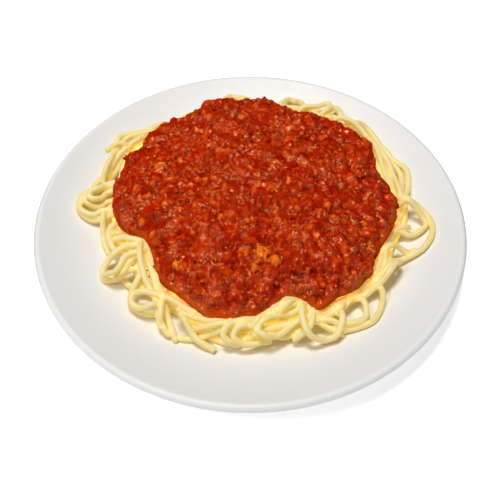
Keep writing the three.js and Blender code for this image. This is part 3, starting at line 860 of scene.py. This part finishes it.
def sauce_sheet_coordinates(sheet):
    """Lengths u and v of an even net over a disc, whose outer line is the sauce's edge."""
    line = np.linspace(-1, 1, SAUCE_GRID + 1)
    a, b = np.meshgrid(line, line)
    wide = np.abs(a) >= np.abs(b)
    safe_a, safe_b = np.where(a == 0, 1, a), np.where(b == 0, 1, b)
    r = np.where(wide, a, b)
    phi = np.where(wide, math.pi / 4 * (b / safe_a), math.pi / 2 - math.pi / 4 * (a / safe_b))
    u, v = r * np.cos(phi), r * np.sin(phi)
    reach = sauce_edge(np.arctan2(v, u)) * sheet.stretch
    return u * reach, v * reach, np.hypot(u, v)


def sauce_piece(sheet, fields, material):
    skin, cover, tint = fields
    u, v, share = sauce_sheet_coordinates(sheet)
    base = sheet.place(u, v)
    out = sheet.normal(u, v)
    uneven = sum(height * hills(wavelength, seed) for height, wavelength, seed in UNEVEN)
    # The outermost few millimetres are a smooth film of oily sauce.
    film = 1 - 0.8 * smoothstep(share, 0.92, 0.985)
    rise = sampled(skin + uneven, u, v) * film
    points = (base + out * rise[..., None]).reshape(-1, 3)
    # Each attribute over the sheet, and its value on the skirt. The oily rim is stronger on the
    # near side.
    attributes = {
        "cover": (sampled(cover, u, v) * film, 0.0),
        "tint": (sampled(tint, u, v), 0.5),
        "proud": (sampled(skin - blurred(skin, 1.3), u, v), 0.0),
        "rim": (smoothstep(share, 0.90, 0.985) * (0.35 + 0.65 * smoothstep(-v, -20, 40)), 1.0),
    }
    n = SAUCE_GRID + 1
    index = np.arange(n * n).reshape(n, n)
    quads = np.stack([index[:-1, :-1], index[:-1, 1:], index[1:, 1:], index[1:, :-1]], axis=-1)
    faces = quads.reshape(-1, 4).tolist()
    # A skirt turns in under the edge and closes the sauce on the nest.
    border = np.concatenate([index[0, :-1], index[:-1, -1], index[-1, :0:-1], index[:0:-1, 0]])
    outline = points[border]
    inward = FOOD - outline[:, :2]
    inward /= np.linalg.norm(inward, axis=1)[:, None]
    for step_in, step_down in SKIRT:
        ring = np.column_stack([outline[:, :2] + inward * step_in, outline[:, 2] - step_down])
        new_border = np.arange(len(ring)) + len(points)
        points = np.vstack([points, ring])
        faces += band(border, new_border)
        border = new_border
    faces.append(tuple(border.tolist()[::-1]))
    more = len(points) - n * n
    for key, (values, on_skirt) in attributes.items():
        attributes[key] = np.concatenate([values.ravel(), np.full(more, on_skirt)])
    make_piece("sauce", points, faces, material, "meat_sauce", "meat_sauce", attributes)


def icosphere(detail):
    ball = bmesh.new()
    bmesh.ops.create_icosphere(ball, subdivisions=detail, radius=1.0)
    points = np.array([vertex.co[:] for vertex in ball.verts])
    faces = [tuple(vertex.index for vertex in face.verts) for face in ball.faces]
    ball.free()
    return points, faces


def mince_piece(sheet, pool, material):
    """Loose crumbs of mince that stand proud of the sauce."""
    rng = np.random.default_rng(51)
    small, large = icosphere(2), icosphere(3)
    parts, tint = [], []
    for _ in range(LOOSE_CRUMBS["count"]):
        u, v = sheet.strewn(rng, LOOSE_CRUMBS["inner"])
        size = min(crumb_sizes(rng, LOOSE_CRUMBS), LOOSE_CRUMBS["most"])
        raised = rng.uniform(-0.1, 0.4)
        stretch = rng.uniform(0.55, 1.0, 3)
        turn = rng.uniform(0, 2 * math.pi)
        shift = Vector(rng.uniform(-50, 50, 3))
        shade = rng.uniform()
        if sampled(pool, u, v) > LOOSE_CRUMBS["deepest"]:
            continue
        base, out = sheet.place(u, v), sheet.normal(u, v)
        ball, ball_faces = large if size > LOOSE_CRUMBS["large"] else small
        bumps = np.array([noise.fractal(Vector(p) * 1.7 + shift, 0.7, 2.2, 3) for p in ball])
        lump = turned(ball * (1 + 0.75 * bumps[:, None]) * size * stretch, turn)
        parts.append((lump + base + out * size * raised, ball_faces))
        tint.append(np.full(len(ball), shade))
    attributes = {"tint": np.concatenate(tint)}
    make_piece("mince", *joined(parts), material, "meat_sauce", "meat_sauce", attributes)


def specks_piece(sheet, skin, heap_height, material):
    """Flat flakes of pepper and dried herb, half sunk in what they lie on."""
    rng = np.random.default_rng(61)
    ball, ball_faces = icosphere(2)
    places = list(SPECKS)
    for _ in range(FINE_SPECKS["count"]):
        spot = polar(rng.uniform(0, 2 * math.pi), FINE_SPECKS["reach"] * math.sqrt(rng.uniform()))
        places.append((spot[0], spot[1], rng.uniform(FINE_SPECKS["least"], FINE_SPECKS["most"])))
    parts, tint = [], []
    for x, y, size in places:
        distance, azimuth = from_centre(x, y)
        if distance < sauce_edge(azimuth) - SAUCE_MARGIN:
            u, v = sheet.flat(x, y)
            spot = sheet.place(u, v) + sheet.normal(u, v) * (sampled(skin, u, v) + 0.15 * size)
        else:
            spot = np.array([x, y, sampled(heap_height, x, y) + 0.1 * size])
        turn = rng.uniform(0, 2 * math.pi)
        flake = turned(ball * size * np.array([1.0, rng.uniform(0.5, 0.8), 0.4]), turn)
        parts.append((flake + spot, ball_faces))
        tint.append(np.full(len(ball), rng.uniform()))
    attributes = {"tint": np.concatenate(tint)}
    make_piece("pepper_flakes", *joined(parts), material, "meat_sauce", None, attributes)


def speck_material():
    material, tree, shader = new_material("pepper_and_herb")
    colour = mixed(tree, attribute(tree, "tint"), (0.030, 0.012, 0.004), (0.075, 0.045, 0.012))
    grain = times(tree, noise_texture(tree, 0.3, 2), 0.4)
    colour = mixed(tree, grain, colour, (0.02, 0.008, 0.004))
    set_inputs(tree, shader, {"Base Color": colour, "Roughness": 0.5})
    return material


RED_DEEP = (0.23, 0.0016, 0.0001)
RED = (0.40, 0.0070, 0.0001)
RED_ORANGE = (0.52, 0.025, 0.0002)
OILY = (0.74, 0.085, 0.0004)
SHADED = (0.12, 0.0012, 0.0001)
# The pale pink of painted glints.
PAINTED_GLINT = (0.90, 0.25, 0.06)
# Colours of the crumbs, from olive bits of herb and onion to meat and carrot bright with oil.
CRUMB_COLOURS = [
    (0.00, (0.24, 0.050, 0.004)),
    (0.03, (0.42, 0.110, 0.014)),
    (0.06, (0.32, 0.011, 0.0003)),
    (0.55, (0.42, 0.024, 0.0006)),
    (0.80, (0.56, 0.058, 0.004)),
    (0.92, (0.70, 0.110, 0.008)),
    (1.00, (0.84, 0.200, 0.010)),
]


def ramp(tree, value, colours):
    node = add_node(tree, "ShaderNodeValToRGB", {"Fac": value})
    stops = node.color_ramp.elements
    while len(stops) < len(colours):
        stops.new(0.5)
    for stop, (place, colour) in zip(stops, colours):
        stop.position = place
        stop.color = (*colour, 1.0)
    return node.outputs["Color"]


def wet_surface(tree, shader, colour):
    # Wrinkled, glinting stretches lie between smooth ones, and painted glints, pale pink specks, lie
    # over the wrinkled ones.
    crumbly = patches(tree, 8, 2, 0.46, 0.58, 0.0, 1.0)
    painted_glints = patches(tree, 1.2, 1.5, 0.62, 0.70, 0.0, 0.7)
    colour = mixed(tree, times(tree, painted_glints, crumbly), colour, PAINTED_GLINT)
    rough = patches(tree, 1.3, 3, 0.35, 0.65, 0.06, 0.15)
    # The uneven film of oil shines less the further the surface turns away from the eye.
    facing = add_node(tree, "ShaderNodeLayerWeight", {"Blend": 0.5}).outputs["Facing"]
    head_on = mapped(tree, facing, 0.2, 0.5, 1.0, 0.0)
    oily = mapped(tree, crumbly, 0.0, 1.0, 0.25, 1.0)
    shader.subsurface_method = "BURLEY"
    set_inputs(tree, shader, {
        "Base Color": colour,
        "Roughness": rough,
        "Subsurface Weight": 0.2,
        "Subsurface Radius": (1.0, 0.2, 0.05),
        "Subsurface Scale": 0.8 * MM,
        "IOR": 1.6,
        "Specular Tint": (1.0, 0.45, 0.19, 1.0),
        "Specular IOR Level": times(tree, head_on, oily),
    })
    wrinkles = noise_texture(tree, 1.6, 1.2, distortion=1.6)
    bump(tree, shader, wrinkles, 0.65, mapped(tree, crumbly, 0.0, 1.0, 0.2, 1.0))


def sauce_material():
    material, tree, shader = new_material("tomato_sauce")
    grain = patches(tree, 1.8, 4, 0.35, 0.65, 0.0, 1.0)
    colour = mixed(tree, grain, RED_DEEP, RED)
    broad = patches(tree, 16, 2, 0.35, 0.65, 0.0, 0.6)
    colour = mixed(tree, broad, colour, RED_ORANGE)
    oil = patches(tree, 4.5, 3, 0.52, 0.68, 0.0, 0.65)
    colour = mixed(tree, oil, colour, OILY)
    meat = ramp(tree, attribute(tree, "tint"), CRUMB_COLOURS)
    colour = mixed(tree, times(tree, attribute(tree, "cover"), 0.8), colour, meat)
    # Painted shade darkens the hollows among the crumbs.
    colour = mixed(tree, mapped(tree, attribute(tree, "proud"), 0.0, -0.6, 0.0, 0.8), colour, SHADED)
    colour = mixed(tree, times(tree, attribute(tree, "rim"), 0.75), colour, (0.68, 0.085, 0.002))
    wet_surface(tree, shader, colour)
    return material


def mince_material():
    material, tree, shader = new_material("mince_in_sauce")
    meat = ramp(tree, attribute(tree, "tint"), CRUMB_COLOURS)
    grain = patches(tree, 1.2, 4, 0.35, 0.65, 0.0, 0.6)
    wet_surface(tree, shader, mixed(tree, grain, meat, RED))
    return material


# -------------------- studio


def studio():
    scene = bpy.context.scene
    scene.view_settings.view_transform = "Standard"
    scene.view_settings.look = "None"
    world = bpy.data.worlds.new("studio")
    world.use_nodes = True
    tree = world.node_tree
    # The room is bright over the plate, dim behind it, and pale again low down behind the floor.
    place = add_node(tree, "ShaderNodeTexCoord").outputs["Generated"]
    parts = add_node(tree, "ShaderNodeSeparateXYZ", {"Vector": place}).outputs
    over = mapped(tree, parts["Z"], 0.35, 0.85, 0.2, 1.0)
    strength = times(tree, mapped(tree, parts["Y"], -0.3, 0.35, 0.4, 0.09), over)
    low = times(tree, mapped(tree, parts["Z"], 0.08, 0.35, 0.45, 0.0),
                mapped(tree, parts["Y"], -0.9, -0.2, 0.3, 1.0))
    strength = combined(tree, "MAXIMUM", strength, low)
    background = {"Color": (1.0, 1.0, 1.0, 1.0), "Strength": strength}
    set_inputs(tree, tree.nodes["Background"], background)
    scene.world = world

    mesh = bpy.data.meshes.new("floor")
    half = 12.0
    corners = [(-half, -half, 0), (half, -half, 0), (half, half, 0), (-half, half, 0)]
    mesh.from_pydata(corners, [], [(0, 1, 2, 3)])
    material, tree, shader = new_material("pale_floor")
    colour = mixed(tree, noise_texture(tree, 30, 2), (0.95, 0.95, 0.95), (0.94, 0.94, 0.94))
    set_inputs(tree, shader, {
        "Base Color": colour,
        "Roughness": 0.9,
        "Emission Color": (1.0, 1.0, 1.0, 1.0),
        "Emission Strength": 0.4,
    })
    mesh.materials.append(material)
    floor = bpy.data.objects.new("floor", mesh)
    scene.collection.objects.link(floor)

    lamp("overhead", (-0.10, 0.02, 1.15), 0.32, 9.6)
    lamp("left", (-0.50, -0.38, 0.95), 0.24, 3.0)


def lamp(name, place, width, power):
    """A round lamp that faces the plate."""
    light = bpy.data.lights.new(name, "AREA")
    light.shape = "DISK"
    light.size = width
    light.energy = power
    holder = bpy.data.objects.new(name, light)
    holder.location = place
    holder.rotation_euler = (-Vector(place)).to_track_quat("-Z", "Y").to_euler()
    bpy.context.scene.collection.objects.link(holder)


def photo_camera():
    """The photograph's view, which follows from the ellipse of the plate's rim in it."""
    distance, elevation = 400.0, math.radians(52.04)
    target = Vector((-0.10, -17.97, 12.0))
    away = Vector((0, -math.cos(elevation), math.sin(elevation)))
    data = bpy.data.cameras.new("camera")
    data.sensor_width = 36
    data.lens = 54.21
    data.clip_start = 0.01
    camera = bpy.data.objects.new("camera", data)
    camera.location = (target + away * distance) * MM
    camera.rotation_euler = (-away).to_track_quat("-Z", "Y").to_euler()
    bpy.context.scene.collection.objects.link(camera)
    bpy.context.scene.camera = camera


# -------------------- making it all

photo_camera()
studio()
lines, heap_height = nest_lines()
plate_piece(heap_height, glaze_material())
pasta = pasta_material()
noodle_piece(lines, pasta)
core_piece(pasta)
sheet = Sheet()
pool = pool_field()
fields = crumb_fields(crumb_list(sheet), pool)
sauce_piece(sheet, fields, sauce_material())
mince_piece(sheet, pool, mince_material())
specks_piece(sheet, fields[0], heap_height, speck_material())
